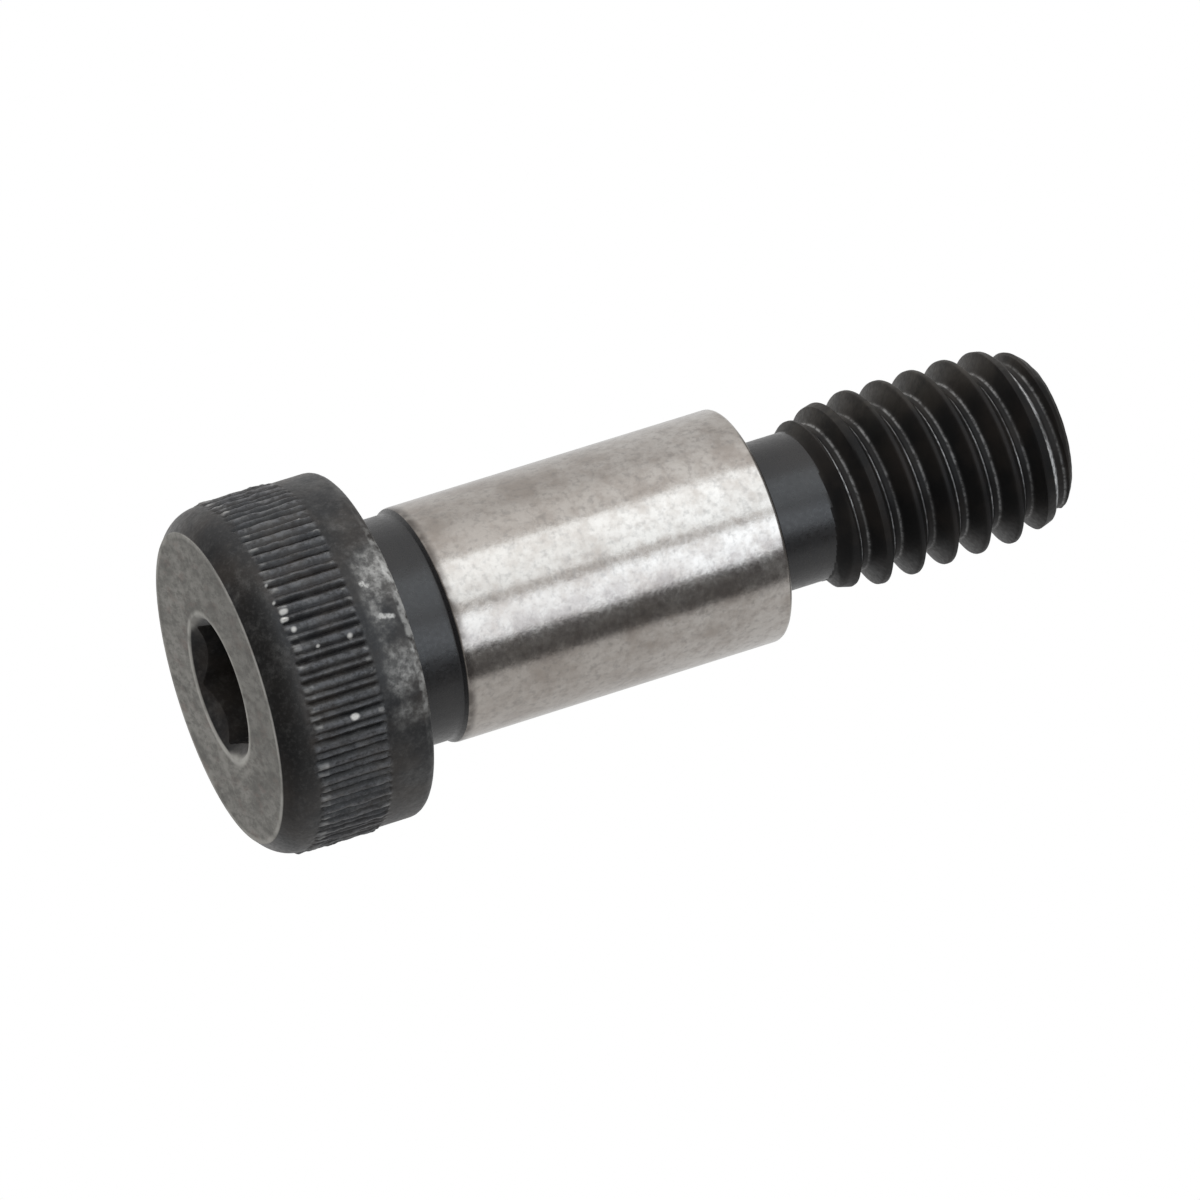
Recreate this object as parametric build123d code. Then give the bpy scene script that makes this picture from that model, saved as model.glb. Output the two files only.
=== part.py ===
from build123d import *
from math import cos, pi, radians, sin, tan
import os

# A shoulder bolt, made from one piece of steel, so it is one solid: a knurled cylindrical head
# with a hexagon socket, a neck under the head, a ground shoulder, a thread neck and a
# right-hand thread. All lengths are in millimetres and all angles in degrees.
# The bolt stands on its head: the head's flat face lies on Z = 0, and its axis is +Z.

# Head
head_height = 6.15            # from the flat face to the bearing face
face_diameter = 12.50         # the flat part of the head's face
band_diameter = 13.88         # smooth band between the knurl and the bearing face
crown_height = 1.20           # rounded rim between the flat face and the knurl, in three bevels
crown_low_height = 0.28       # where the first bevel ends: its height over the face
crown_low_inset = 0.40        # and how far that is inside the band's surface
crown_high_height = 0.72      # the same for the second bevel
crown_high_inset = 0.06
bearing_edge_radius = 0.45    # rounded edge of the bearing face, in three bevels

# Straight knurl rolled into the head: a ridge has two crests with a shallow seam between them
ridge_count = 54
ridge_crest_diameter = 14.05
ridge_valley_diameter = 13.66
ridge_seam_diameter = 13.90
knurl_length = 3.10
knurl_turn = 2.6              # places one valley this far round from the +X side
first_crest_start = 0.20      # this and the next four are shares of one ridge's turn
first_crest_end = 0.46
seam_place = 0.60
second_crest_start = 0.72
second_crest_end = 0.84

# Hexagon socket in the head's face
socket_across_flats = 4.7625
socket_turn = 30.0            # puts two of the hexagon's corners over the Y axis
socket_depth = 3.60           # length of the six flats
socket_mouth_diameter = 5.84
socket_mouth_slope = 45.0     # slope of the countersunk mouth against the face
socket_drill_diameter = 4.50
socket_drill_angle = 118.0    # point angle of the drilled bottom

# Neck between the bearing face and the shoulder
head_neck_diameter = 9.12
head_neck_width = 2.15
head_neck_bevel = 0.20        # the small bevel in the corner under the head

# Ground shoulder
shoulder_diameter = 9.46
shoulder_length = 16.0        # from the bearing face to the shoulder's end face
shoulder_start_bevel = 0.25   # length of the bevel that rises from the neck
shoulder_end_chamfer = 0.20

# Neck between the shoulder and the thread
thread_neck_diameter = 6.05
thread_neck_width = 2.50
thread_neck_bevel = 0.25      # the small bevel in the corner under the shoulder

# Thread, 18 turns to the inch
thread_section_length = 12.9  # from the shoulder's end face to the tip
thread_pitch = 25.4 / 18
thread_major_diameter = 7.70
thread_root_diameter = 6.10
thread_crest_flat = 0.18
thread_flank_angle = 30.0     # each flank against a plane square to the axis
groove_lead_in = 1.24         # how far before the thread the groove begins, on the +X side
groove_outer_margin = 0.06    # how far the groove's section stands proud of the crests

# The thread fades in over its first turns, and tapers to a chamfered tip
run_out_diameter = 7.0        # where the steep rise from the neck ends
run_out_rise = 0.60           # length of that rise
run_out_length = 1.90         # length of the taper from there to full crests
tip_taper_diameter = 6.84     # where the taper meets the tip's chamfer
tip_taper_length = 1.65
tip_diameter = 5.64           # the flat end of the tip
tip_chamfer_length = 0.50

# Places along the axis
knurl_start_z = crown_height
knurl_end_z = knurl_start_z + knurl_length
bearing_face_z = head_height
neck_end_z = bearing_face_z + head_neck_width
shoulder_end_z = bearing_face_z + shoulder_length
thread_start_z = shoulder_end_z + thread_neck_width
tip_z = shoulder_end_z + thread_section_length


def blank():
    """The bolt without knurl ridges, socket and thread grooves: one outline, revolved."""
    face = face_diameter / 2
    band = band_diameter / 2
    valley = ridge_valley_diameter / 2
    edge = bearing_edge_radius
    neck = head_neck_diameter / 2
    shoulder = shoulder_diameter / 2
    thread_neck = thread_neck_diameter / 2
    major = thread_major_diameter / 2
    full_thread_z = thread_start_z + run_out_rise + run_out_length
    chamfer_z = tip_z - tip_chamfer_length
    outline = [
        (0, 0),
        (face, 0),
        (band - crown_low_inset, crown_low_height),
        (band - crown_high_inset, crown_high_height),
        (band, knurl_start_z),
        (valley, knurl_start_z),
        (valley, knurl_end_z),
        (band, knurl_end_z),
        (band, bearing_face_z - edge),
        (band - edge * (1 - cos(radians(30))), bearing_face_z - edge * (1 - sin(radians(30)))),
        (band - edge * (1 - cos(radians(60))), bearing_face_z - edge * (1 - sin(radians(60)))),
        (band - edge, bearing_face_z),
        (neck + head_neck_bevel, bearing_face_z),
        (neck, bearing_face_z + head_neck_bevel),
        (neck, neck_end_z),
        (shoulder, neck_end_z + shoulder_start_bevel),
        (shoulder, shoulder_end_z - shoulder_end_chamfer),
        (shoulder - shoulder_end_chamfer, shoulder_end_z),
        (thread_neck + thread_neck_bevel, shoulder_end_z),
        (thread_neck, shoulder_end_z + thread_neck_bevel),
        (thread_neck, thread_start_z),
        (run_out_diameter / 2, thread_start_z + run_out_rise),
        (major, full_thread_z),
        (major, chamfer_z - tip_taper_length),
        (tip_taper_diameter / 2, chamfer_z),
        (tip_diameter / 2, tip_z),
        (0, tip_z),
    ]
    with BuildPart() as turned:
        with BuildSketch(Plane.XZ):
            with BuildLine():
                Polyline(*outline, close=True)
            make_face()
        revolve(axis=Axis.Z)
    return turned.part


def knurl():
    """The knurled ring: one star-shaped outline, extruded along the head."""
    crest = ridge_crest_diameter / 2
    ridge = [
        (0, ridge_valley_diameter / 2),
        (first_crest_start, crest),
        (first_crest_end, crest),
        (seam_place, ridge_seam_diameter / 2),
        (second_crest_start, crest),
        (second_crest_end, crest),
    ]
    points = []
    for number in range(ridge_count):
        for share, radius in ridge:
            angle = radians(knurl_turn) + (number + share) * 2 * pi / ridge_count
            points.append((radius * cos(angle), radius * sin(angle)))
    with BuildPart() as ring:
        with BuildSketch(Plane.XY.offset(knurl_start_z)):
            with BuildLine():
                Polyline(*points, close=True)
            make_face()
        extrude(amount=knurl_length)
    return ring.part


def socket():
    """The space of the hexagon socket: a countersunk mouth, six flats and a drilled bottom."""
    mouth = socket_mouth_diameter / 2
    mouth_depth = mouth * tan(radians(socket_mouth_slope))
    drill = socket_drill_diameter / 2
    point_depth = drill / tan(radians(socket_drill_angle / 2))
    from_below = (Align.CENTER, Align.CENTER, Align.MIN)
    with BuildPart() as space:
        with BuildSketch():
            RegularPolygon(socket_across_flats / 2, 6, major_radius=False, rotation=socket_turn)
        extrude(amount=socket_depth)
        Cone(mouth, 0, mouth_depth, align=from_below)
        with Locations((0, 0, socket_depth)):
            Cone(drill, 0, point_depth, align=from_below)
    return space.part


def groove_turn():
    """One turn of the space between the crests: a trapezoid swept along a right-hand helix."""
    root = thread_root_diameter / 2
    outer = thread_major_diameter / 2 + groove_outer_margin
    flank_slope = tan(radians(thread_flank_angle))
    outer_half = (thread_pitch - thread_crest_flat) / 2 + groove_outer_margin * flank_slope
    root_half = outer_half - (outer - root) * flank_slope
    section = [(root, -root_half), (root, root_half), (outer, outer_half), (outer, -outer_half)]
    with BuildPart() as turn:
        with BuildSketch(Plane.XZ):
            with BuildLine():
                Polyline(*section, close=True)
            make_face()
        sweep(path=Helix(thread_pitch, thread_pitch, root), is_frenet=True)
    return turn.part


def with_thread(body):
    """The body with the groove taken out turn by turn, from the neck until it leaves the tip."""
    turn = groove_turn()
    groove_z = thread_start_z - groove_lead_in
    while groove_z < tip_z + thread_pitch / 2:
        body -= Pos(0, 0, groove_z) * turn
        groove_z += thread_pitch
    return body


shoulder_bolt = with_thread(blank() + knurl() - socket())
shoulder_bolt.label = "shoulder_bolt"

os.makedirs("parts", exist_ok=True)
export_step(shoulder_bolt, "parts/shoulder_bolt.step")
print("shoulder_bolt:", len(shoulder_bolt.solids()), "solid,", round(shoulder_bolt.volume), "mm3")
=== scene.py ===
from math import atan2, cos, degrees, hypot, pi, radians, sin, tan
import bmesh
import bpy
from mathutils import Matrix, Vector, noise


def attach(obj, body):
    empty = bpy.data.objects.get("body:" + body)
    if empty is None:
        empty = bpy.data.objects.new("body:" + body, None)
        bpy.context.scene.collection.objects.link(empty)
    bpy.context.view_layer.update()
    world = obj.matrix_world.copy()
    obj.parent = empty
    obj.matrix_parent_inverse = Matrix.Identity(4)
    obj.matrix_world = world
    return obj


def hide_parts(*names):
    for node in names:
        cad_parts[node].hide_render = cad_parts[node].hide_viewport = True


# A shoulder bolt standing on its head: the head's face is at height 0 and the axis is +Z.
# Shapes are given as (radius, height) in millimetres and made in metres.

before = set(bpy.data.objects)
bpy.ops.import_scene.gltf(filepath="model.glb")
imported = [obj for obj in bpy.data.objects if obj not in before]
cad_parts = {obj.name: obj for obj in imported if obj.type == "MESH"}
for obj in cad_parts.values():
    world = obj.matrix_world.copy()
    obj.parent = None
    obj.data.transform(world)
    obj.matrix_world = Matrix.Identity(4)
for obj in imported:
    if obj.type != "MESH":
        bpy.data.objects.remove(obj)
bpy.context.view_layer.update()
mm = 0.001
print("frame loaded")


# Shared helpers

def arcPoints(centre, radius, startAngle, endAngle, count):
    # points of an arc in the outline, in (radius, height)
    points = []
    for step in range(count + 1):
        turn = radians(startAngle + (endAngle - startAngle) * step / count)
        points.append((centre[0] + radius * cos(turn), centre[1] + radius * sin(turn)))
    return points


def newPiece():
    bm = bmesh.new()
    bm.verts.layers.float.new("knurlCrest")
    bm.verts.layers.float.new("rootLine")
    return bm


def addPiece(bm, piece):
    mesh = bpy.data.meshes.new("piece")
    piece.to_mesh(mesh)
    piece.free()
    bm.from_mesh(mesh)
    bpy.data.meshes.remove(mesh)


def spinOutline(bm, points, steps, rise=0.0):
    # spins an open outline once about the axis; with a rise the turn climbs
    verts = [bm.verts.new((radius * mm, 0, height * mm)) for radius, height in points]
    edges = [bm.edges.new(pair) for pair in zip(verts, verts[1:])]
    bmesh.ops.spin(
        bm, geom=verts + edges, cent=(0, 0, 0), axis=(0, 0, 1), dvec=(0, 0, rise * mm / steps),
        angle=2 * pi, steps=steps, use_merge=(rise == 0),
        use_normal_flip=False, use_duplicate=False,
    )


def closeSeams(bm):
    bmesh.ops.remove_doubles(bm, verts=bm.verts[:], dist=0.0005 * mm)
    bmesh.ops.dissolve_degenerate(bm, dist=0.0002 * mm, edges=bm.edges[:])


def polar(co):
    return hypot(co.x, co.y) / mm, degrees(atan2(co.y, co.x)), co.z / mm


def setRadius(vert, radius):
    now = hypot(vert.co.x, vert.co.y)
    if now > 0:
        vert.co.x *= radius * mm / now
        vert.co.y *= radius * mm / now


def smoothStep(low, high, value):
    share = min(1.0, max(0.0, (value - low) / (high - low)))
    return share * share * (3 - 2 * share)


def openEdges(bm, height):
    # edges of the open rim at a height, to a few thousandths of a millimetre
    near = 0.004
    rim = [edge for edge in bm.edges if edge.is_boundary]
    return [edge for edge in rim if all(abs(vert.co.z / mm - height) < near for vert in edge.verts)]


def tableValue(table, place):
    for (left, low), (right, high) in zip(table, table[1:]):
        if left <= place <= right:
            return low + (high - low) * (place - left) / (right - left)
    return table[-1][1]


def linkObject(name, data):
    item = bpy.data.objects.new(name, data)
    bpy.context.scene.collection.objects.link(item)
    return item


# The head: socket, face, crown, knurl and bearing face

head = {
    "steps": 540,               # columns round the head, ten to a ridge
    "height": 6.15,
    "faceRadius": 6.25,
    "faceRows": (3.05, 3.4, 4.2, 5.0, 5.7, 6.1),
    "faceEdge": [(-0.02, 0), (0.012, 0.022)],   # softened edge: (past the face's radius, height)
    "bandRadius": 6.94,
    "bandRows": (4.55, 5.1),
    "crownCentre": (5.564, 1.250),
    "crownRadius": 1.376,
    "crownStart": -46.0,
    "crownEnd": -2.9,
    "crownSteps": 9,
    "edgeRadius": 0.45,
    "edgeSteps": 6,
    "bearingRows": (6.2, 5.9),
    "joinRadius": 5.40,         # where the head's finer mesh meets the shank's
}

knurl = {
    "ridges": 54,
    "start": 1.20,
    "end": 4.30,
    "turn": 4 * 360 / 540,      # angle of one valley
    "fadeIn": 0.22,
    "fadeOut": 0.20,
    # (share of the ridge's turn, radius)
    "section": [(0, 6.84), (0.09, 6.93), (0.2, 7.01), (0.33, 7.03), (0.45, 6.995), (0.58, 6.885),
                (0.68, 6.98), (0.79, 7.015), (0.9, 6.94), (1, 6.84)],
    "insideRadius": 6.8,        # the mesh inside this radius isn't part of the knurl
    "crestFrom": 6.95,          # a place counts as a crest from this radius on,
    "crestDepth": 0.08,         # and in full when it is this much further out
    # rows of the mesh along the ridges, closer together near both ends
    "rowsBefore": 0.02,
    "rowsAfter": 0.1,
    "fineRows": 0.07,
    "coarseRows": 0.14,
    "fineZone": 0.42,
    # unevenness: each ridge starts and ends a little early or late, and its crests are worn
    "wander": 0.24,
    "startWander": 0.7,
    "endWander": 0.3,
    "ragged": 0.11,
    "endRagged": 0.5,
    "fineWear": 0.6,
    "wornShare": 0.35,
    "wornDepth": 0.024,
}

socket = {
    "acrossFlats": 4.7625,
    "cornerRadius": 2.71,       # how far the slightly rounded corners reach
    "depth": 3.60,
    "wallRows": (3.0, 2.2, 1.4, 0.8),
    "mouthRadius": 2.92,
    "lip": 0.05,                # rounding between the mouth and the face, and its rows as
    "lipRows": [(-1, 1), (0.1, 0.27), (1.4, 0)],    # shares of it: (past the mouth, height)
    "drillRadius": 2.25,
    "drillDepth": 4.95,
    "drillRow": 1.2,            # radius of a row of the mesh on the drilled bottom
}


def hexRadius(angle):
    # flats face 0, 60, 120 degrees and so on, so two corners lie on the Y axis
    fromFlat = (angle + 30) % 60 - 30
    return min(socket["acrossFlats"] / 2 / cos(radians(fromFlat)), socket["cornerRadius"])


def socketOutline():
    mouth = socket["mouthRadius"]
    wall = socket["acrossFlats"] / 2
    deep = socket["depth"]
    lip = socket["lip"]
    drillSlope = (socket["drillDepth"] - deep) / socket["drillRadius"]
    drillRow = socket["drillRow"]
    points = [(0, socket["drillDepth"])]
    points += [(drillRow, socket["drillDepth"] - drillRow * drillSlope)]
    points += [(socket["drillRadius"], deep), (wall, deep)]
    points += [(wall, height) for height in socket["wallRows"]]
    points += [(wall, mouth - wall)]
    points += [(mouth + lip * past, lip * height) for past, height in socket["lipRows"]]
    return points


def headOutline():
    band = head["bandRadius"]
    edge = head["edgeRadius"]
    top = head["height"]
    points = socketOutline()
    points += [(radius, 0) for radius in head["faceRows"]]
    points += [(head["faceRadius"] + past, height) for past, height in head["faceEdge"]]
    points += arcPoints(head["crownCentre"], head["crownRadius"],
                        head["crownStart"], head["crownEnd"], head["crownSteps"])[:-1]
    height = knurl["start"] - knurl["rowsBefore"]
    while height < knurl["end"] + knurl["rowsAfter"]:
        points.append((band, height))
        fromEnds = min(height - knurl["start"], knurl["end"] - height)
        height += knurl["fineRows"] if fromEnds < knurl["fineZone"] else knurl["coarseRows"]
    points += [(band, height) for height in head["bandRows"]]
    points += arcPoints((band - edge, top - edge), edge, 0, 90, head["edgeSteps"])
    points += [(radius, top) for radius in head["bearingRows"]]
    points.append((head["joinRadius"], top))
    return points


def shapeSocket(bm):
    # the round walls are pushed out to the hexagon; the mouth's cone meets it in six curves
    wall = socket["acrossFlats"] / 2
    for vert in bm.verts:
        radius, angle, height = polar(vert.co)
        if abs(radius - wall) < 0.01 and height > 0.1:
            hexagon = hexRadius(angle)
            if abs(height - (socket["mouthRadius"] - wall)) < 0.01:
                vert.co.z = (socket["mouthRadius"] - hexagon) * mm
            setRadius(vert, hexagon)


def shapeKnurl(bm):
    crest = bm.verts.layers.float["knurlCrest"]
    count = knurl["ridges"]
    lowest = knurl["start"] - 0.03
    highest = knurl["end"] + 0.2
    for vert in bm.verts:
        radius, angle, height = polar(vert.co)
        if radius < knurl["insideRadius"] or not lowest < height < highest:
            continue
        turnShare = ((angle - knurl["turn"]) / 360 * count + 1e-6) % count
        number, share = int(turnShare), turnShare % 1
        wander = noise.noise(Vector((number * 3.7, 0.5, 0.2))) * knurl["wander"]
        ragged = noise.noise(Vector((turnShare * 2.6, 7.1, 0.9))) * knurl["ragged"]
        start = knurl["start"] + wander * knurl["startWander"] + ragged
        end = knurl["end"] + wander * knurl["endWander"] - ragged * knurl["endRagged"]
        fade = smoothStep(start, start + knurl["fadeIn"], height)
        fade *= 1 - smoothStep(end - knurl["fadeOut"], end, height)
        section = tableValue(knurl["section"], share)
        worn = noise.noise(Vector((turnShare * 1.9, height * 2.6, 4.4)))
        worn += noise.noise(Vector((turnShare * 4.7, height * 5.5, 1.4))) * knurl["fineWear"]
        relief = (section - head["bandRadius"]) * (1 + worn * knurl["wornShare"])
        relief += worn * knurl["wornDepth"]
        setRadius(vert, head["bandRadius"] + relief * fade)
        vert[crest] = max(0.0, (section - knurl["crestFrom"]) / knurl["crestDepth"]) * fade


def makeHead():
    bm = newPiece()
    spinOutline(bm, headOutline(), head["steps"])
    closeSeams(bm)
    shapeSocket(bm)
    shapeKnurl(bm)
    return bm


# The shank: neck, ground shoulder and thread neck

shank = {
    "steps": 180,
    "joinOverlap": 0.12,        # how far the first row lies inside the head's last one
    "startRow": 5.0,
    "neckRadius": 4.56,
    "neckEnd": 8.30,
    "neckFillet": 0.20,
    "neckRows": (6.9, 7.6, 8.1),
    # the rise over the neck's end: first (outside the neck, above its end), and then
    # (inside the shoulder, above the neck's end)
    "riseFoot": [(0, -0.03), (0.02, 0.02)],
    "riseTop": [(0.03, 0.13), (0.008, 0.19), (0, 0.27)],
    "shoulderRadius": 4.73,
    "shoulderEnd": 22.15,
    "shoulderEdge": 0.20,
    "arcSteps": 5,
    "firstRow": 9.2,            # rows along the shoulder
    "rowGap": 1.4,
    "rowCount": 9,
    "endRows": (4.1, 3.6),
    "threadNeckRadius": 3.025,
    "threadNeckFillet": 0.25,
    "threadNeckRows": (22.9, 23.5),
    "joinHeight": 24.30,        # where it meets the thread's mesh
    "joinGap": 0.06,
}


def shankOutline():
    top = head["height"]
    neck = shank["neckRadius"]
    neckEnd = shank["neckEnd"]
    full = shank["shoulderRadius"]
    fillet = shank["neckFillet"]
    edge = shank["shoulderEdge"]
    steps = shank["arcSteps"]
    end = shank["shoulderEnd"]
    lowNeck = shank["threadNeckRadius"]
    lowFillet = shank["threadNeckFillet"]
    points = [(head["joinRadius"] - shank["joinOverlap"], top), (shank["startRow"], top)]
    points += arcPoints((neck + fillet, top + fillet), fillet, 270, 180, steps)
    points += [(neck, height) for height in shank["neckRows"]]
    points += [(neck + out, neckEnd + above) for out, above in shank["riseFoot"]]
    points += [(full - inside, neckEnd + above) for inside, above in shank["riseTop"]]
    points += [(full, shank["firstRow"] + step * shank["rowGap"]) for step in range(shank["rowCount"])]
    points += arcPoints((full - edge, end - edge), edge, 0, 90, steps)
    points += [(radius, end) for radius in shank["endRows"]]
    points += arcPoints((lowNeck + lowFillet, end + lowFillet), lowFillet, 270, 180, steps)
    points += [(lowNeck, height) for height in shank["threadNeckRows"]]
    points.append((lowNeck, shank["joinHeight"] - shank["joinGap"]))
    return points


def makeShank():
    bm = newPiece()
    spinOutline(bm, shankOutline(), shank["steps"])
    closeSeams(bm)
    return bm


# The thread, right-hand: one climbing turn is copied up the axis and fitted to its envelope

thread = {
    "steps": 144,               # columns in one turn
    "turns": 10,
    "pitch": 25.4 / 18,
    "crestHeight": 22.708,      # height of a crest on the +X side
    "tip": 35.05,
    "tipRings": [(2.74, 0), (2.5, 0.012), (1.4, 0.012)],    # (radius, above the tip)
    # half of one turn's outline: (distance along the axis from the crest, radius)
    "halfSection": [(0, 3.85), (0.065, 3.846), (0.10, 3.825), (0.135, 3.772), (0.19, 3.68),
                    (0.264, 3.548), (0.379, 3.349), (0.425, 3.269), (0.469, 3.193), (0.515, 3.122),
                    (0.545, 3.084), (0.580, 3.060), (0.645, 3.05)],
    "rootRadius": 3.05,
    # (height, radius) of the envelope, from the neck to the tip
    "envelope": [(20, 3.025), (24.58, 3.025), (24.72, 3.12), (25.10, 3.44), (25.6, 3.57),
                 (26.3, 3.73), (27.1, 3.85), (32.9, 3.85), (33.4, 3.76), (34.0, 3.57),
                 (34.55, 3.38), (34.85, 3.12), (35.05, 2.82), (37, 2.82)],
    # the rise from the neck starts later on one side, which fades out between two heights
    "lateSide": -97.5,
    "lateBy": 0.28,
    "lateFade": (25.4, 27.0),
    # pale lines in the two corners of the root, by distance from the nearest crest
    "lowerLine": 0.472,
    "upperLine": 0.575,
    "lineWidth": 0.075,
    "lineFrom": (24.6, 25.2),   # it starts between these two heights
    "lineEdge": 0.03,           # and ends where the envelope cuts into the outline
    # in the last root it moves out to here and widens, between these two heights
    "lastLine": 0.30,
    "lastWidth": 0.30,
    "lastFrom": (33.5, 33.7),
    "lowerStrength": 1.0,
    "upperStrength": 0.32,
}


def threadOutline():
    half = thread["halfSection"]
    crest = thread["crestHeight"]
    points = [(thread["rootRadius"], crest - thread["pitch"] / 2)]
    points += [(radius, crest - along) for along, radius in reversed(half)]
    points += [(radius, crest + along) for along, radius in half[1:]]
    points += [(thread["rootRadius"], crest + thread["pitch"] / 2)]
    return points


def lateStart(angle, height):
    side = 0.5 + 0.5 * cos(radians(angle - thread["lateSide"]))
    return thread["lateBy"] * side * side * (1 - smoothStep(*thread["lateFade"], height))


def shapeThread(bm):
    rootLine = bm.verts.layers.float["rootLine"]
    pitch = thread["pitch"]
    for vert in bm.verts:
        radius, angle, height = polar(vert.co)
        along = ((height - thread["crestHeight"]) / pitch - angle / 360) % 1
        lower = along < 0.5
        fromCrest = min(along, 1 - along) * pitch
        limit = tableValue(thread["envelope"], height - lateStart(angle, height))
        last = smoothStep(*thread["lastFrom"], height) if lower else 0
        width = thread["lineWidth"] + (thread["lastWidth"] - thread["lineWidth"]) * last
        centre = thread["lowerLine"] if lower else thread["upperLine"]
        centre += (thread["lastLine"] - centre) * last
        line = 1 - smoothStep(0, width, abs(fromCrest - centre))
        line *= thread["lowerStrength"] if lower else thread["upperStrength"]
        if limit < radius:
            setRadius(vert, limit)
            line *= 1 - smoothStep(0.0, thread["lineEdge"], radius - limit)
        vert[rootLine] = line * smoothStep(*thread["lineFrom"], height)


def copyTurns(bm):
    oneTurn = bm.verts[:] + bm.edges[:] + bm.faces[:]
    for number in range(1, thread["turns"]):
        copied = bmesh.ops.duplicate(bm, geom=oneTurn)["geom"]
        verts = [item for item in copied if isinstance(item, bmesh.types.BMVert)]
        bmesh.ops.translate(bm, verts=verts, vec=(0, 0, number * thread["pitch"] * mm))


def closeTip(bm):
    rim = openEdges(bm, thread["tip"])
    for radius, above in thread["tipRings"]:
        grown = bmesh.ops.extrude_edge_only(bm, edges=rim)["geom"]
        verts = [item for item in grown if isinstance(item, bmesh.types.BMVert)]
        rim = [item for item in grown if isinstance(item, bmesh.types.BMEdge)]
        rim = [edge for edge in rim if edge.verts[0] in verts and edge.verts[1] in verts]
        for vert in verts:
            setRadius(vert, radius)
            vert.co.z = (thread["tip"] + above) * mm
    bmesh.ops.pointmerge(bm, verts=verts, merge_co=(0, 0, thread["tip"] * mm))


def makeThread():
    bm = newPiece()
    spinOutline(bm, threadOutline(), thread["steps"], rise=thread["pitch"])
    copyTurns(bm)
    closeSeams(bm)
    shapeThread(bm)
    for height, away in ((shank["joinHeight"], -1), (thread["tip"], 1)):
        bmesh.ops.bisect_plane(
            bm, geom=bm.verts[:] + bm.edges[:] + bm.faces[:], dist=1e-8,
            plane_co=(0, 0, height * mm), plane_no=(0, 0, away), clear_outer=True,
        )
    closeTip(bm)
    return bm


# The whole bolt as one closed mesh

whole = {
    "sharpAngle": 28,           # edges that turn by more than this are drawn sharp
    # places where one material gives way to the next
    "steelRadius": 4.62,
    "steelFrom": 8.44,
    "steelTo": 22.10,
    "threadFrom": 24.58,
    "neckFrom": 6.3,
    "neckRadius": 4.75,
}

headNumber, steelNumber, neckNumber, threadNumber = range(4)


def materialNumber(radius, angle, height):
    if radius > whole["steelRadius"] and whole["steelFrom"] < height < whole["steelTo"]:
        return steelNumber
    if height - lateStart(angle, height) > whole["threadFrom"]:
        return threadNumber
    if height > whole["neckFrom"] and radius < whole["neckRadius"]:
        return neckNumber
    return headNumber


def joinPieces():
    bm = newPiece()
    for piece in (makeHead(), makeShank(), makeThread()):
        addPiece(bm, piece)
    faceRims = openEdges(bm, head["height"])
    bmesh.ops.bridge_loops(bm, edges=faceRims)
    upperRim = openEdges(bm, shank["joinHeight"])
    lowerRim = openEdges(bm, shank["joinHeight"] - shank["joinGap"])
    bmesh.ops.bridge_loops(bm, edges=upperRim + lowerRim)
    bmesh.ops.recalc_face_normals(bm, faces=bm.faces[:])
    return bm


def makeBolt():
    bm = joinPieces()
    for face in bm.faces:
        face.smooth = True
        radius, angle, height = polar(face.calc_center_median())
        face.material_index = materialNumber(radius, angle, height)
    for edge in bm.edges:
        if len(edge.link_faces) == 2:
            edge.smooth = edge.calc_face_angle() < radians(whole["sharpAngle"])
    openCount = sum(1 for edge in bm.edges if not edge.is_manifold)
    print("bolt mesh:", len(bm.faces), "faces,", openCount, "open edges, volume",
          round(bm.calc_volume() / mm ** 3, 1), "mm3")
    mesh = bpy.data.meshes.new("boltBody")
    bm.to_mesh(mesh)
    bm.free()
    return linkObject("boltBody", mesh)


# Materials

def newMaterial(name):
    material = bpy.data.materials.new(name)
    material.use_nodes = True
    nodes = material.node_tree.nodes
    nodes.clear()
    output = nodes.new("ShaderNodeOutputMaterial")
    return material, nodes, material.node_tree.links, output


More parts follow.
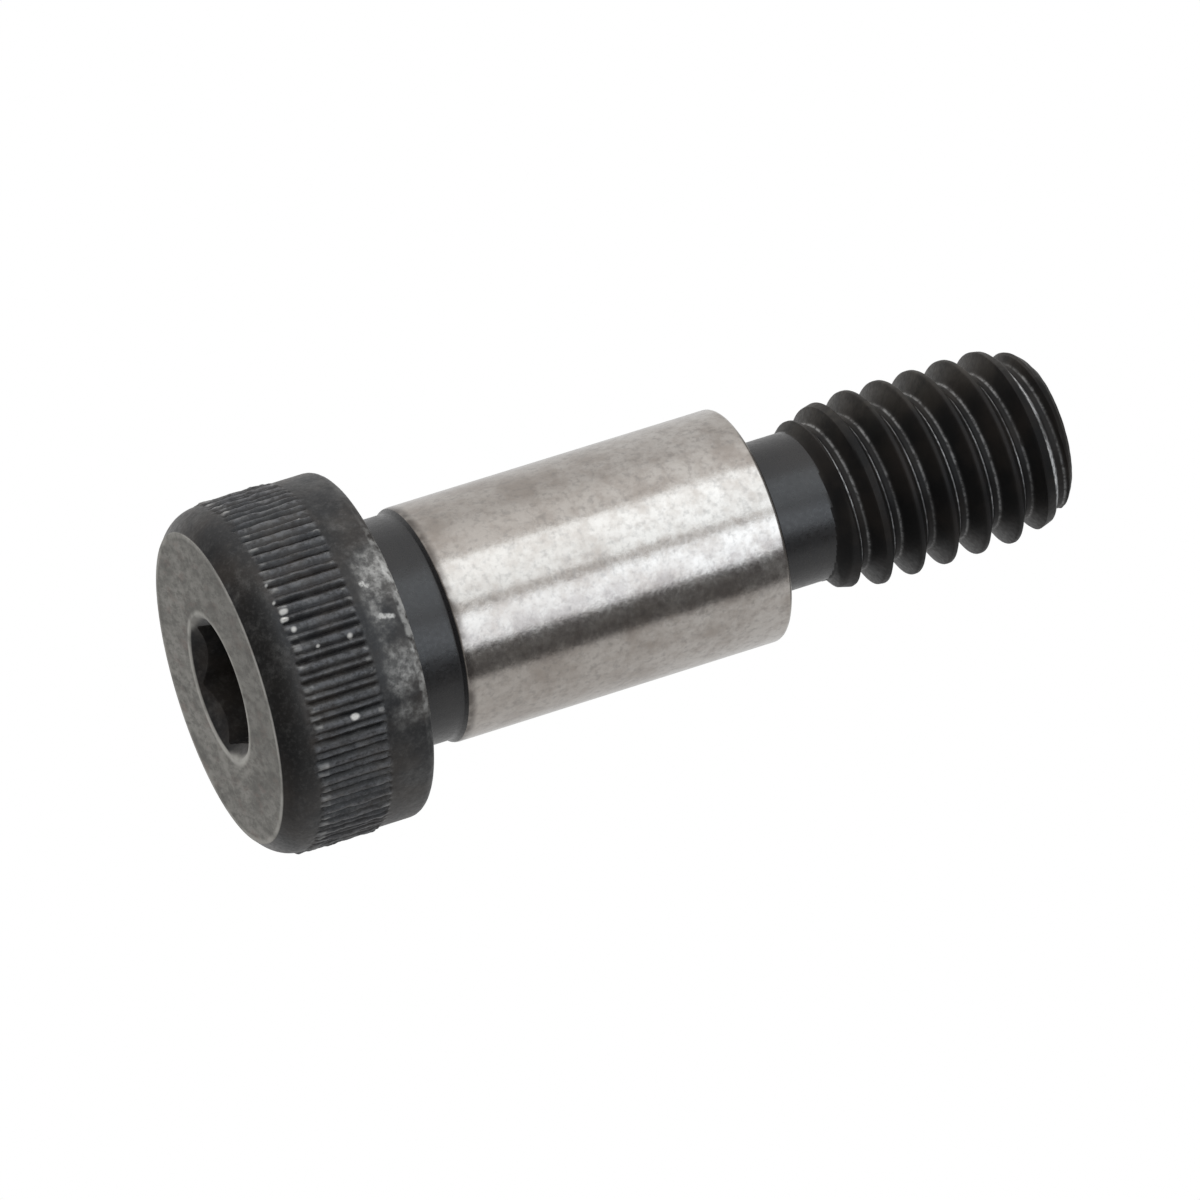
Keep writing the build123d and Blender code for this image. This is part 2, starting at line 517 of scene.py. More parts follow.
class Pattern:
    # adds shader nodes and joins them; places on the bolt are in millimetres
    def __init__(self, nodes, links, place="Object", size=1 / mm):
        self.nodes = nodes
        self.links = links
        coordinates = nodes.new("ShaderNodeTexCoord")
        scale = nodes.new("ShaderNodeMapping")
        scale.inputs["Scale"].default_value = (size, size, size)
        links.new(coordinates.outputs[place], scale.inputs["Vector"])
        self.place = scale.outputs["Vector"]

    def plug(self, value, socket):
        if isinstance(value, bpy.types.NodeSocket):
            self.links.new(value, socket)
        else:
            socket.default_value = value

    def maths(self, operation, first, second=0.0, clamp=False):
        node = self.nodes.new("ShaderNodeMath")
        node.operation = operation
        node.use_clamp = clamp
        self.plug(first, node.inputs[0])
        self.plug(second, node.inputs[1])
        return node.outputs[0]

    def plus(self, *values):
        total = values[0]
        for value in values[1:]:
            total = self.maths("ADD", total, value)
        return total

    def times(self, *values):
        product = values[0]
        for value in values[1:]:
            product = self.maths("MULTIPLY", product, value)
        return product

    def remap(self, value, low, high, least=0.0, most=1.0):
        # least at low, most at high, and smooth between them
        node = self.nodes.new("ShaderNodeMapRange")
        node.interpolation_type = "SMOOTHSTEP"
        self.plug(value, node.inputs["Value"])
        for name, number in (("From Min", low), ("From Max", high),
                             ("To Min", least), ("To Max", most)):
            node.inputs[name].default_value = number
        return node.outputs["Result"]

    def zone(self, value, start, end, soft):
        # 1 between two values, with soft edges outside them
        rising = self.remap(value, start - soft, start)
        return self.times(rising, self.remap(value, end + soft, end))

    def noise(self, scale, detail, roughness, stretch=(1, 1, 1)):
        node = self.nodes.new("ShaderNodeTexNoise")
        node.inputs["Scale"].default_value = scale
        node.inputs["Detail"].default_value = detail
        node.inputs["Roughness"].default_value = roughness
        place = self.place
        if stretch != (1, 1, 1):
            mapping = self.nodes.new("ShaderNodeMapping")
            mapping.inputs["Scale"].default_value = stretch
            self.links.new(place, mapping.inputs["Vector"])
            place = mapping.outputs["Vector"]
        self.links.new(place, node.inputs["Vector"])
        return node.outputs["Fac"]

    def mottle(self, scale, detail, roughness, low, high, least=0.0, most=1.0, stretch=(1, 1, 1)):
        return self.remap(self.noise(scale, detail, roughness, stretch), low, high, least, most)

    def attribute(self, name):
        node = self.nodes.new("ShaderNodeAttribute")
        node.attribute_name = name
        return node.outputs["Fac"]

    def blendColour(self, share, first, second):
        node = self.nodes.new("ShaderNodeMix")
        node.data_type = "RGBA"
        self.plug(share, node.inputs["Factor"])
        self.plug(first, node.inputs[6])
        self.plug(second, node.inputs[7])
        return node.outputs[2]

    def axes(self):
        split = self.nodes.new("ShaderNodeSeparateXYZ")
        self.links.new(self.place, split.inputs[0])
        return split.outputs["X"], split.outputs["Y"], split.outputs["Z"]

    def radius(self, x, y):
        return self.maths("SQRT", self.plus(self.maths("POWER", x, 2.0), self.maths("POWER", y, 2.0)))

    def towards(self, x, y, side):
        # distance from the axis, measured towards one side
        turn = radians(side)
        return self.plus(self.times(x, cos(turn)), self.times(y, sin(turn)))

    def spot(self, centre, radius):
        # 1 round a point of the surface, falling to 0 at a radius
        node = self.nodes.new("ShaderNodeVectorMath")
        node.operation = "DISTANCE"
        self.links.new(self.place, node.inputs[0])
        node.inputs[1].default_value = centre
        return self.remap(node.outputs["Value"], radius, radius * 0.3)

    def spots(self, places):
        found = []
        for angle, height, reach, size in places:
            turn = radians(angle)
            found.append(self.spot((reach * cos(turn), reach * sin(turn), height), size))
        return self.plus(*found)

    def bump(self, height, distance, strength=1.0, below=None):
        node = self.nodes.new("ShaderNodeBump")
        node.inputs["Distance"].default_value = distance * mm
        node.inputs["Strength"].default_value = strength
        self.links.new(height, node.inputs["Height"])
        if below is not None:
            self.links.new(below, node.inputs["Normal"])
        return node.outputs["Normal"]


# In the values below, a mottle is (scale, detail, roughness, low, high, least, most, stretch):
# noise whose values from low to high are spread from least to most. A step is
# (low, high, least, most), and a zone is (start, end, width of its soft edges). The heights of
# grain, dents, grinding and ripples are (millimetres, strength).

# One black finish in three grades: matt on the head, smoother on the necks, dull in the thread
blackLook = {
    "clouds": (0.55, 4, 0.55, 0.36, 0.70),
    "grain": (6.0, 4, 0.65),
    "grainRange": (0.3, 0.7),
    "grainHeight": (0.005, 0.6),
    "dents": (2.2, 4, 0.55),
    "dentHeight": (0.02, 0.6),
    "smoother": 0.05,           # the roughness varies from this much less to this much more
    "rougher": 0.08,
    "dustRoughness": 0.35,
    "faceRoughness": 0.30,
}

headLook = {
    "colour": (0.0125, 0.0122, 0.0128, 1),
    "browner": (0.026, 0.0215, 0.0185, 1),
    # crown: painted shade on the crown's near side
    "crown": (0.0055, 0.0051, 0.0048, 1),
    # crest: painted highlight on the knurl's crests
    "crest": (0.070, 0.070, 0.075, 1),
    # face: the flat face's colour, lightened as a painted sheen
    "face": (0.248, 0.240, 0.220, 1),
    "facePatch": (0.100, 0.097, 0.087, 1),
    "faceTint": (0.190, 0.156, 0.140, 1),
    # rim: painted highlight on the face's inner and outer rim
    "rim": (0.42, 0.41, 0.38, 1),
    "dust": (0.40, 0.39, 0.37, 1),
    "brightSpot": (0.50, 0.48, 0.45, 1),
    "roughness": 0.42,
    "specular": 0.28,
    # small bright spots on the knurl: (angle, height, radius, size)
    "brightSpots": [(-100.7, 3.65, 7.01, 0.17), (-76.0, 3.05, 7.02, 0.19), (-75.9, 2.96, 7.02, 0.18),
              (-114.3, 1.46, 6.99, 0.17), (-114.2, 1.58, 7.01, 0.16), (-111.7, 1.38, 6.99, 0.16),
              (-111.6, 1.50, 7.01, 0.15), (-107.9, 1.64, 7.0, 0.16), (-100.6, 2.32, 7.00, 0.12),
              (-124.3, 1.31, 7.0, 0.12), (-117.9, 1.30, 7.0, 0.12), (-146.3, 3.74, 7.02, 0.09)],
    # short scratches on the band behind the knurl
    "scratches": [(-103.9, 5.07, 6.94, 0.16), (-103.5, 5.22, 6.94, 0.15),
                  (-103.1, 5.37, 6.94, 0.15), (-102.8, 5.52, 6.94, 0.13),
                  (-115.6, 4.80, 6.94, 0.16), (-114.6, 4.95, 6.94, 0.13)],
}

# dust and scuffs: on the band behind the knurl and on its edge, mostly on one side
dustLook = {
    "side": -102.0,
    "nearSide": (5.4, 6.75, 0.10, 1.0),
    "bandHeight": (4.9, 6.12, 0.5),
    "bandRadius": (6.3, 6.6),
    "bandShare": 0.70,
    "clouds": (0.75, 4, 0.6, 0.38, 0.66),
    "fineClouds": (3.2, 4, 0.65, 0.36, 0.70, 0.2, 1.0),
    "edgeHeight": (5.84, 6.10, 0.12),
    "edgeRadius": (6.45, 6.6),
    "edgeShare": 0.5,
    "edgeClouds": (2.4, 3, 0.55, 0.40, 0.62),
    "grit": (9.0, 2, 0.6, 0.42, 0.60),
    "gritShare": (0.0, 0.8, 0.4, 1.0),
    "rubbed": (1.3, 5, 0.75, 0.48, 0.74, 0.0, 0.07),
    "fineRubbed": (6.5, 3, 0.75, 0.46, 0.72, 0.0, 0.035),
    # on the knurl's crests: everywhere, and at the two ends of the ridges
    "onCrests": (1.6, 3, 0.55, 0.40, 0.75, 0.0, 0.10),
    "startHeight": (1.30, 1.62, 0.12),
    "onStarts": (2.2, 3, 0.6, 0.44, 0.66, 0.0, 0.5, (1, 1, 0.4)),
    "endHeight": (4.02, 4.22, 0.10),
    "onEnds": (2.6, 3, 0.6, 0.50, 0.68, 0.0, 0.4, (1, 1, 0.6)),
}

# the flat face: painted lighter as a painted sheen and mottled, darkened towards the near side as
# painted shade, with a painted highlight on each rim; and the socket's mouth
faceLook = {
    "patches": (0.75, 5, 0.7, 0.42, 0.66, 0.0, 0.8, (1, 0.4, 1)),
    "speckle": (3.4, 4, 0.7, 0.42, 0.66, 0.0, 0.7, (1, 0.35, 1)),
    "tint": (1.4, 3, 0.6, 0.52, 0.68, 0.0, 0.7, (1, 0.4, 0.7)),
    # painted shade: the face is darkened towards this side
    "paintedShadeSide": -97.5,
    "paintedNearShade": (0.0, 5.0, 0.0, 0.35),
    "outerRim": (6.14, 6.30, 0.16),
    "outerShare": 0.6,
    "innerRim": (2.9, 2.98, 0.24),
    "rimHighlightMottle": (0.9, 3, 0.55, 0.34, 0.60, 0.35, 0.9),
    "height": (0.035, 0.0),
    # the mouth keeps the face's colour and painted sheen on its lip, and further in at its upper and
    # lower end
    "mouthSide": 172.5,
    "mouthEnds": (2.35, 2.70),
    "endDepth": (0.34, 0.06),
    "lipDepth": (0.075, 0.02),
    "mouthRadius": (3.1, 3.0),
    "mouthShare": 0.85,
}

# the crown is painted darkest on the near side, as painted shade; the knurl's crests are painted lighter
# in places, as a painted highlight
crownShadeLook = {"side": -94.0, "nearSide": (4.6, 6.4), "height": (1.2, 0.9), "share": 0.8}
crestHighlight = (4.5, 4, 0.7, 0.36, 0.62, 0.15, 1.0)

neckLook = {
    "colour": (0.0062, 0.0061, 0.0070, 1),
    "browner": (0.0105, 0.0092, 0.0092, 1),
    "roughness": 0.30,
    "specular": 0.52,
    "turning": (1.0, 3, 0.6, 0.35, 0.65, 0.0, 0.6, (0.5, 0.5, 14.0)),
}

# the thread is painted lighter and browner on its upper side, as painted light from above, and has
# broken pale lines in its root corners
threadLook = {
    "colour": (0.0068, 0.0064, 0.0063, 1),
    "browner": (0.0145, 0.0120, 0.0104, 1),
    "rootLineColour": (0.62, 0.61, 0.60, 1),
    "paintedUpperLight": (0.036, 0.0315, 0.0265, 1),
    "roughness": 0.46,
    "specular": 0.14,
    "upperLightSide": 172.5,
    "upperLightReach": (1.6, 3.8),
    "upperLightClouds": (1.2, 4, 0.7, 0.34, 0.62, 0.35, 1.0),
    "speckle": (4.5, 4, 0.7, 0.36, 0.60, 0.2, 1.0),
    "stretches": (0.6, 2, 0.55, 0.36, 0.62, 0.35, 1.0),
}


def startBlack(name, look):
    # the common ground of the black finish; returns what the three grades add to
    material, nodes, links, output = newMaterial(name)
    shader = nodes.new("ShaderNodeBsdfPrincipled")
    links.new(shader.outputs[0], output.inputs["Surface"])
    shader.inputs["Specular IOR Level"].default_value = look["specular"]
    pattern = Pattern(nodes, links)
    colour = pattern.blendColour(pattern.mottle(*blackLook["clouds"]), look["colour"], look["browner"])
    return material, pattern, shader, colour


def finishBlack(pattern, shader, look, colour, dust, matt=0.0):
    pattern.links.new(colour, shader.inputs["Base Color"])
    grain = pattern.noise(*blackLook["grain"])
    smoothest = look["roughness"] - blackLook["smoother"]
    roughest = look["roughness"] + blackLook["rougher"]
    rough = pattern.remap(grain, *blackLook["grainRange"], smoothest, roughest)
    rough = pattern.plus(rough, pattern.times(dust, blackLook["dustRoughness"]))
    mattest = pattern.times(matt, blackLook["faceRoughness"])
    rough = pattern.maths("ADD", rough, mattest, clamp=True)
    pattern.links.new(rough, shader.inputs["Roughness"])
    dents = pattern.bump(pattern.noise(*blackLook["dents"]), *blackLook["dentHeight"])
    surface = pattern.bump(grain, *blackLook["grainHeight"], dents)
    pattern.links.new(surface, shader.inputs["Normal"])


def headDust(pattern, x, y, z, radius):
    look = dustLook
    nearSide = pattern.remap(pattern.towards(x, y, look["side"]), *look["nearSide"])
    band = pattern.times(pattern.zone(z, *look["bandHeight"]),
                         pattern.remap(radius, *look["bandRadius"]))
    scuffs = pattern.times(band, nearSide, pattern.mottle(*look["clouds"]),
                           pattern.mottle(*look["fineClouds"]), look["bandShare"])
    edge = pattern.times(pattern.zone(z, *look["edgeHeight"]),
                         pattern.remap(radius, *look["edgeRadius"]))
    edge = pattern.times(edge, nearSide, pattern.mottle(*look["edgeClouds"]), look["edgeShare"])
    grit = pattern.remap(pattern.mottle(*look["grit"]), *look["gritShare"])
    scratches = pattern.times(pattern.spots(headLook["scratches"]), grit)
    rubbed = pattern.plus(pattern.mottle(*look["rubbed"]), pattern.mottle(*look["fineRubbed"]))
    return pattern.plus(scuffs, edge, scratches, rubbed)


def knurlDust(pattern, z, crest):
    look = dustLook
    everywhere = pattern.mottle(*look["onCrests"])
    starts = pattern.times(pattern.zone(z, *look["startHeight"]), pattern.mottle(*look["onStarts"]))
    ends = pattern.times(pattern.zone(z, *look["endHeight"]), pattern.mottle(*look["onEnds"]))
    return pattern.times(crest, pattern.plus(everywhere, starts, ends))


def faceSheenShadeAndMottle(pattern, x, y, radius):
    patches, speckle, tint = [pattern.mottle(*faceLook[name]) for name in ("patches", "speckle", "tint")]
    colour = pattern.blendColour(patches, headLook["face"], headLook["facePatch"])
    colour = pattern.blendColour(tint, colour, headLook["faceTint"])
    colour = pattern.blendColour(speckle, colour, headLook["facePatch"])
    # painted shade: the face is darkened towards the near side
    paintedNearShade = pattern.remap(pattern.towards(x, y, faceLook["paintedShadeSide"]), *faceLook["paintedNearShade"])
    colour = pattern.blendColour(paintedNearShade, colour, headLook["facePatch"])
    # painted highlight on the face's inner and outer rim, broken up by mottling
    outer = pattern.times(pattern.zone(radius, *faceLook["outerRim"]), faceLook["outerShare"])
    paintedRimHighlights = pattern.plus(pattern.zone(radius, *faceLook["innerRim"]), outer)
    paintedRimHighlights = pattern.times(paintedRimHighlights, pattern.mottle(*faceLook["rimHighlightMottle"]))
    return pattern.blendColour(paintedRimHighlights, colour, headLook["rim"])


def faceShare(pattern, x, y, z, radius):
    # 1 on the flat face and 0 past its edges, but for the socket's mouth
    across = pattern.maths("ABSOLUTE", pattern.towards(x, y, faceLook["mouthSide"]))
    ends = pattern.times(pattern.remap(z, *faceLook["endDepth"]),
                         pattern.remap(across, *faceLook["mouthEnds"]))
    lip = pattern.maths("MAXIMUM", ends, pattern.remap(z, *faceLook["lipDepth"]))
    mouth = pattern.times(lip, pattern.remap(radius, *faceLook["mouthRadius"]), faceLook["mouthShare"])
    return pattern.maths("MAXIMUM", pattern.remap(z, *faceLook["height"]), mouth)


def makeHeadBlack():
    material, pattern, shader, colour = startBlack("headBlack", headLook)
    x, y, z = pattern.axes()
    radius = pattern.radius(x, y)
    # painted shade: the crown's near side is darkened
    nearSide = pattern.remap(pattern.towards(x, y, crownShadeLook["side"]), *crownShadeLook["nearSide"])
    paintedCrownShade = pattern.times(pattern.remap(z, *crownShadeLook["height"]), crownShadeLook["share"], nearSide)
    colour = pattern.blendColour(paintedCrownShade, colour, headLook["crown"])
    crest = pattern.attribute("knurlCrest")
    # painted highlight: the knurl's crests are lightened in mottled places
    paintedCrestHighlight = pattern.times(crest, pattern.mottle(*crestHighlight))
    colour = pattern.blendColour(paintedCrestHighlight, colour, headLook["crest"])
    onFace = faceShare(pattern, x, y, z, radius)
    # the flat face gets its painted sheen, painted shade and painted rim highlights here
    colour = pattern.blendColour(onFace, colour, faceSheenShadeAndMottle(pattern, x, y, radius))
    dust = pattern.plus(headDust(pattern, x, y, z, radius), knurlDust(pattern, z, crest))
    dust = pattern.maths("MINIMUM", dust, 1.0)
    colour = pattern.blendColour(dust, colour, headLook["dust"])
    brightSpots = pattern.maths("MINIMUM", pattern.spots(headLook["brightSpots"]), 1.0)
    colour = pattern.blendColour(brightSpots, colour, headLook["brightSpot"])
    finishBlack(pattern, shader, headLook, colour, dust, onFace)
    return material


def makeNeckBlack():
    material, pattern, shader, colour = startBlack("neckBlack", neckLook)
    turning = pattern.mottle(*neckLook["turning"])
    colour = pattern.blendColour(turning, colour, neckLook["browner"])
    finishBlack(pattern, shader, neckLook, colour, 0.0)
    return material


def makeThreadBlack():
    look = threadLook
    material, pattern, shader, colour = startBlack("threadBlack", look)
    x, y = pattern.axes()[:2]
    # painted light: the upper side of the thread is lighter and browner
    paintedUpperLight = pattern.times(pattern.remap(pattern.towards(x, y, look["upperLightSide"]), *look["upperLightReach"]),
                         pattern.mottle(*look["upperLightClouds"]))
    colour = pattern.blendColour(paintedUpperLight, colour, look["paintedUpperLight"])
    lines = pattern.times(pattern.attribute("rootLine"), pattern.mottle(*look["speckle"]),
                          pattern.mottle(*look["stretches"]))
    colour = pattern.blendColour(lines, colour, look["rootLineColour"])
    finishBlack(pattern, shader, look, colour, lines)
    return material


groundSteelLook = {
    "colour": (0.453, 0.422, 0.390, 1),
    "endColour": (0.508, 0.480, 0.450, 1),      # towards the thread
    "endHeight": (11.5, 20.0),
    "stain": (0.302, 0.264, 0.234, 1),
    "stains": (0.42, 5, 0.65, 0.44, 0.70, 0.0, 0.7),
    "freckles": (1.8, 4, 0.65, 0.42, 0.72, 0.0, 0.46),
    "speck": (0.232, 0.218, 0.206, 1),
    "specks": (3.8, 3, 0.60, 0.45, 0.75, 0.0, 0.5),
    # painted dark reflection: a mottled dark band along one side
    "darkReflection": (0.16, 0.135, 0.128, 1),
    "darkReflectionSide": -76.0,
    "darkReflectionReach": (4.50, 4.72),
    "darkReflectionMottle": (1.0, 5, 0.6, 0.40, 0.62, 0.1, 0.5),
    # shade where the shoulder rises from the neck
    "startColour": (0.10, 0.088, 0.080, 1),
    "startHeight": (8.85, 8.50, 0.0, 0.85),
    "startClouds": (2.0, 4, 0.55, 0.3, 0.6, 0.5, 1.0),
    # roughness, and the heights and strengths of the surface's grain
    "smoothest": 0.15,
    "roughest": 0.24,
    "grain": (6.0, 4, 0.6),
    "grainRange": (0.3, 0.75),
    "grainHeight": (0.0035, 0.7),
    "grinding": (1.0, 3, 0.6, (0.6, 0.6, 22.0)),
    "grindingHeight": (0.0015, 0.5),
    "ripples": (2.4, 3, 0.6),
    "rippleHeight": (0.0055, 0.7),
}


def steelColour(pattern, look):
    x, y, z = pattern.axes()
    colour = pattern.blendColour(pattern.remap(z, *look["endHeight"]), look["colour"], look["endColour"])
    colour = pattern.blendColour(pattern.mottle(*look["stains"]), colour, look["stain"])
    colour = pattern.blendColour(pattern.mottle(*look["freckles"]), colour, look["stain"])
    colour = pattern.blendColour(pattern.mottle(*look["specks"]), colour, look["speck"])
    # painted dark reflection: a mottled dark band along one side of the shoulder
    paintedDarkReflection = pattern.remap(pattern.towards(x, y, look["darkReflectionSide"]), *look["darkReflectionReach"])
    paintedDarkReflection = pattern.times(paintedDarkReflection, pattern.mottle(*look["darkReflectionMottle"]))
    colour = pattern.blendColour(paintedDarkReflection, colour, look["darkReflection"])
    shaded = pattern.times(pattern.remap(z, *look["startHeight"]), pattern.mottle(*look["startClouds"]))
    return pattern.blendColour(shaded, colour, look["startColour"])


def makeGroundSteel():
    look = groundSteelLook
    material, nodes, links, output = newMaterial("groundSteel")
    shader = nodes.new("ShaderNodeBsdfPrincipled")
    links.new(shader.outputs[0], output.inputs["Surface"])
    shader.inputs["Metallic"].default_value = 1.0
    pattern = Pattern(nodes, links)
    links.new(steelColour(pattern, look), shader.inputs["Base Color"])
    grain = pattern.noise(*look["grain"])
    rough = pattern.remap(grain, *look["grainRange"], look["smoothest"], look["roughest"])
    links.new(rough, shader.inputs["Roughness"])
    ripples = pattern.bump(pattern.noise(*look["ripples"]), *look["rippleHeight"])
    ground = pattern.bump(pattern.noise(*look["grinding"]), *look["grindingHeight"], ripples)
    surface = pattern.bump(grain, *look["grainHeight"], ground)
    links.new(surface, shader.inputs["Normal"])
    return material


bolt = makeBolt()
# in the order of the material numbers: head, steel, neck, thread
for material in (makeHeadBlack(), makeGroundSteel(), makeNeckBlack(), makeThreadBlack()):
    bolt.data.materials.append(material)
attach(bolt, "root")
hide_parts("shoulder_bolt")
print("bolt finished")


# Camera at the photograph's viewing angle

cameraSet = {
    "side": -97.5,              # the camera's direction round the axis, from +X
    "tilt": 17.17,              # how far it looks up at the head's face
    "roll": 17.4,
    "distance": 450.0,
    "pixelsPerMillimetre": 25.77,
    "aimHeight": 15.69,
    "aimAside": 1.137,
    "frame": 1200,
    "sensor": 36,
    "nearest": 0.01,
    "farthest": 20,
}


def sideDirection(angle):
    return Vector((cos(radians(angle)), sin(radians(angle)), 0))


def makeCamera():
    axis = Vector((0, 0, 1))
    near = sideDirection(cameraSet["side"])
    rise = axis.cross(near) * -1
    tilt, roll = radians(cameraSet["tilt"]), radians(cameraSet["roll"])
    back = near * cos(tilt) - axis * sin(tilt)
    along = near * sin(tilt) + axis * cos(tilt)
    right = along * cos(roll) - rise * sin(roll)
    up = along * sin(roll) + rise * cos(roll)
    aim = axis * cameraSet["aimHeight"] - rise * cameraSet["aimAside"]
    place = (aim + back * cameraSet["distance"]) * mm
    frameWidth = cameraSet["frame"] / cameraSet["pixelsPerMillimetre"]
    data = bpy.data.cameras.new("camera")
    data.sensor_width = cameraSet["sensor"]
    data.lens = cameraSet["sensor"] * cameraSet["distance"] / frameWidth
    data.clip_start = cameraSet["nearest"]
    data.clip_end = cameraSet["farthest"]
    camera = linkObject("camera", data)
    turn = Matrix((right, up, back)).transposed().to_4x4()
    camera.matrix_world = Matrix.Translation(place) @ turn
    bpy.context.scene.camera = camera


makeCamera()


# Floor, lamps and white surroundings

floorLook = {
    "radius": 0.8,
    "segments": 128,
    "below": 0.05,              # millimetres under the bolt
    "colour": (0.86, 0.86, 0.86, 1),
    "whiteFrom": 0.07,          # it turns white between these distances from the bolt
    "whiteTo": 0.25,
}


def makeFloorMaterial():
    # pale from above and clear from below
    material, nodes, links, output = newMaterial("paleFloor")
    matt = nodes.new("ShaderNodeBsdfDiffuse")
    matt.inputs["Color"].default_value = floorLook["colour"]
    white = nodes.new("ShaderNodeEmission")
    clear = nodes.new("ShaderNodeBsdfTransparent")
    pattern = Pattern(nodes, links)
    x, y = pattern.axes()[:2]
    far = pattern.remap(pattern.radius(x, y), floorLook["whiteFrom"] / mm, floorLook["whiteTo"] / mm)
    top = nodes.new("ShaderNodeMixShader")
    links.new(far, top.inputs[0])
    links.new(matt.outputs[0], top.inputs[1])
    links.new(white.outputs[0], top.inputs[2])
    side = nodes.new("ShaderNodeNewGeometry")
    both = nodes.new("ShaderNodeMixShader")
    links.new(side.outputs["Backfacing"], both.inputs[0])
    links.new(top.outputs[0], both.inputs[1])
    links.new(clear.outputs[0], both.inputs[2])
    links.new(both.outputs[0], output.inputs["Surface"])
    return material


def makeFloor():
    bm = bmesh.new()
    bmesh.ops.create_circle(bm, cap_ends=True, radius=floorLook["radius"],
                            segments=floorLook["segments"])
    bmesh.ops.translate(bm, verts=bm.verts[:], vec=(0, 0, -floorLook["below"] * mm))
    mesh = bpy.data.meshes.new("floor")
    bm.to_mesh(mesh)
    bm.free()
    floor = linkObject("floor", mesh)
    # only the camera sees the floor, and only from above, so the head's face gets its light
    floor.visible_shadow = False
    floor.visible_diffuse = False
    floor.visible_glossy = False
    floor.visible_transmission = False
    floor.data.materials.append(makeFloorMaterial())


# In metres, the point that lamps and card face, and their distances from it
studio = {"aim": (0, 0, 0.015), "lampDistance": 0.36, "cardDistance": 0.34}

# (name, direction round the axis from, to, elevation from, to, brightness, colour)
lampSet = [
    ("softboxLeft", -148.0, -107.1, -6, 46, 0.98, (1, 1.12, 1.22)),
    ("softboxFront", -95.6, -62.9, -6, 46, 1.27, (1, 1.12, 1.25)),
    ("softboxBack", 60, 105, -44, 0, 0.55, (1, 1, 1)),
]

# dark card beside the lamps, seen only in reflections
cardSet = {"from": -62.9, "to": -32.2, "lowest": -12, "highest": 50, "brightness": 0.175}


def squareOn(name, data, side, elevation, distance):
    # an object that faces the bolt from a direction
    back = sideDirection(side) * cos(radians(elevation)) + Vector((0, 0, sin(radians(elevation))))
    place = Vector(studio["aim"]) + back * distance
    item = linkObject(name, data)
    item.matrix_world = Matrix.Translation(place) @ back.to_track_quat("Z", "Y").to_matrix().to_4x4()
    return item


def spread(start, end, distance):
    # the width that covers the angles between start and end
    return 2 * distance * tan(radians(end - start) / 2)


def makeLamp(name, sideFrom, sideTo, lowest, highest, brightness, colour):
    distance = studio["lampDistance"]
    data = bpy.data.lights.new(name, "AREA")
    data.shape = "RECTANGLE"
    data.color = colour
    data.size = spread(sideFrom, sideTo, distance)
    data.size_y = spread(lowest, highest, distance)
    data.energy = brightness * pi * data.size * data.size_y
    lamp = squareOn(name, data, (sideFrom + sideTo) / 2, (lowest + highest) / 2, distance)
    lamp.visible_camera = False


def makeCard():
    distance = studio["cardDistance"]
    width = spread(cardSet["from"], cardSet["to"], distance)
    tall = spread(cardSet["lowest"], cardSet["highest"], distance)
    bm = bmesh.new()
    bmesh.ops.create_grid(bm, x_segments=1, y_segments=1, size=0.5)
    bmesh.ops.scale(bm, vec=(width, tall, 1), verts=bm.verts[:])
    mesh = bpy.data.meshes.new("darkCard")
    bm.to_mesh(mesh)
    bm.free()
    card = squareOn("darkCard", mesh, (cardSet["from"] + cardSet["to"]) / 2,
                    (cardSet["lowest"] + cardSet["highest"]) / 2, distance)
    card.visible_camera = False
    card.visible_shadow = False
    card.visible_diffuse = False
    material, nodes, links, output = newMaterial("darkCard")
    glow = nodes.new("ShaderNodeEmission")
    glow.inputs["Strength"].default_value = cardSet["brightness"]
    links.new(glow.outputs[0], output.inputs["Surface"])
    card.data.materials.append(material)


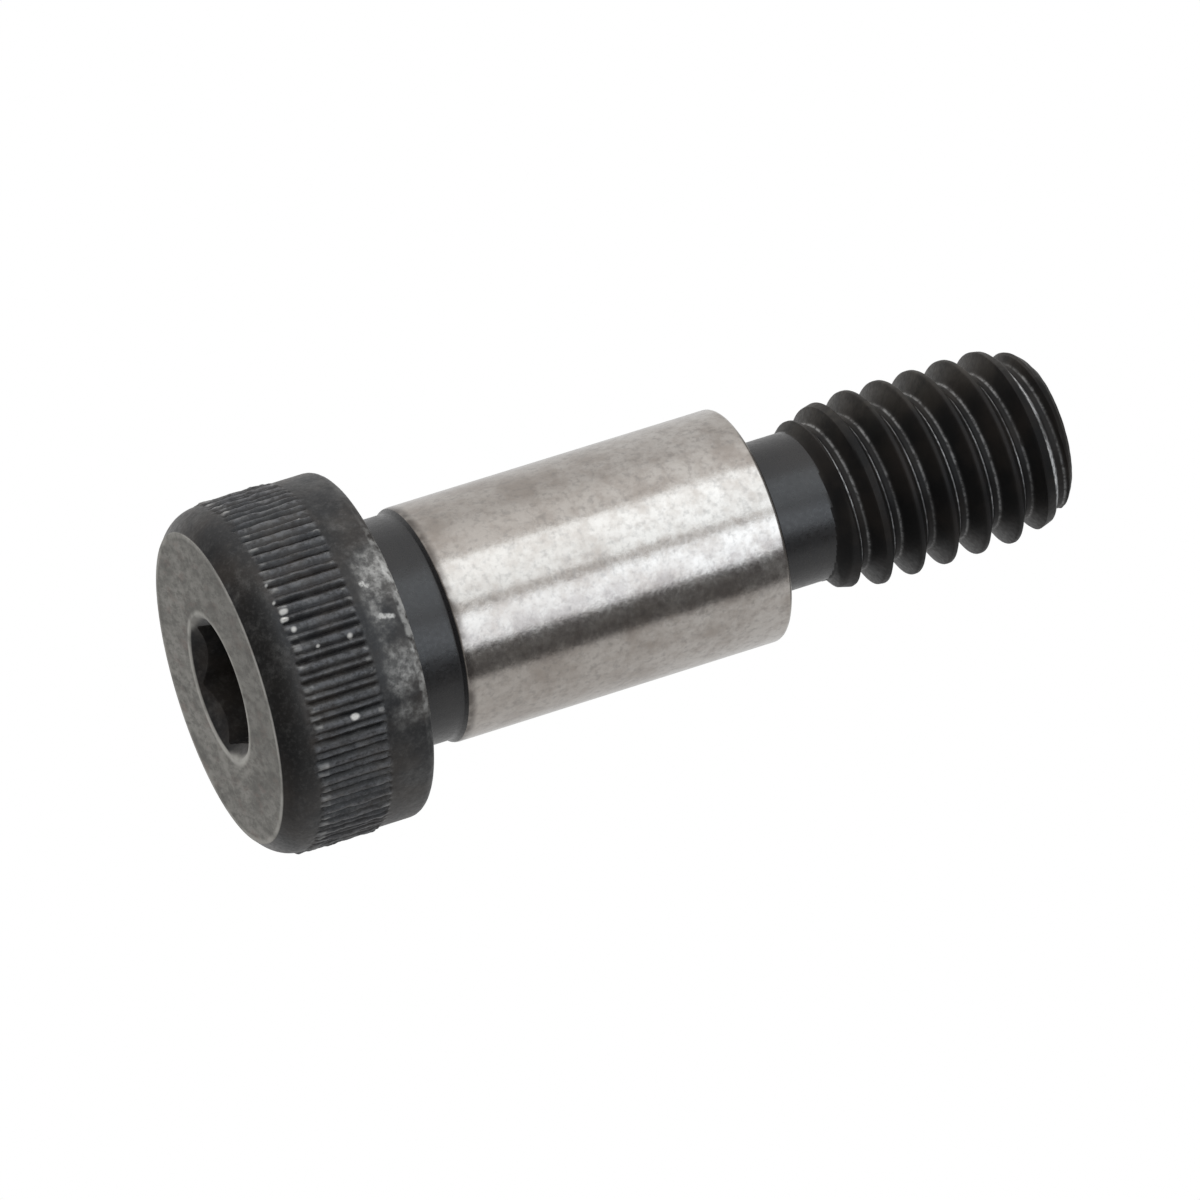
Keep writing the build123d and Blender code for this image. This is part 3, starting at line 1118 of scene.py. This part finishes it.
# Brightness by direction. Steps are (low, high, least, most) over one part of the direction,
# which goes from -1 to 1 along X, Y or Z.
surroundings = {
    "seen": 1.0,                                # by the camera
    "sides": (-0.6, 0.8, 0.83, 0.72),           # in reflections, along X
    "nextToLamp": (0.25, -0.20, 0.0, 0.24),     # added along Y, on the left only
    "leftOnly": (-0.4, -0.8),
    "below": (-0.30, -0.62, 1.0, 0.25),
    "above": (0.60, 0.85, 1.0, 0.22),
    "fill": 0.30,                               # matt light, with more on two sides
    "fillLeft": (-0.3, -0.95, 0.0, 2.1),
    "fillRight": (0.3, 0.95, 0.0, 0.8),
}


def makeSurroundings():
    world = bpy.data.worlds.new("studio")
    bpy.context.scene.world = world
    world.use_nodes = True
    world.cycles.sampling_method = "NONE"
    nodes, links = world.node_tree.nodes, world.node_tree.links
    nodes.clear()
    pattern = Pattern(nodes, links, "Generated", 1.0)
    x, y, z = pattern.axes()
    side = pattern.remap(x, *surroundings["sides"])
    edge = pattern.remap(y, *surroundings["nextToLamp"])
    edge = pattern.times(edge, pattern.remap(x, *surroundings["leftOnly"]))
    low = pattern.remap(z, *surroundings["below"])
    high = pattern.remap(z, *surroundings["above"])
    reflected = pattern.times(pattern.plus(side, edge), low, high)
    fill = pattern.plus(pattern.remap(x, *surroundings["fillLeft"]),
                        pattern.remap(x, *surroundings["fillRight"]), surroundings["fill"])
    path = nodes.new("ShaderNodeLightPath")
    mirrored = pattern.maths("MAXIMUM", path.outputs["Is Glossy Ray"],
                             path.outputs["Is Transmission Ray"])
    more = pattern.maths("SUBTRACT", reflected, fill)
    light = pattern.plus(pattern.times(mirrored, more), fill)
    missing = pattern.maths("SUBTRACT", surroundings["seen"], light)
    light = pattern.plus(pattern.times(path.outputs["Is Camera Ray"], missing), light)
    sky = nodes.new("ShaderNodeBackground")
    sky.inputs["Color"].default_value = (1, 1, 1, 1)
    links.new(light, sky.inputs["Strength"])
    output = nodes.new("ShaderNodeOutputWorld")
    links.new(sky.outputs[0], output.inputs["Surface"])


makeFloor()
for lamp in lampSet:
    makeLamp(*lamp)
makeCard()
makeSurroundings()
bpy.context.scene.view_settings.view_transform = "Standard"
print("stage finished")
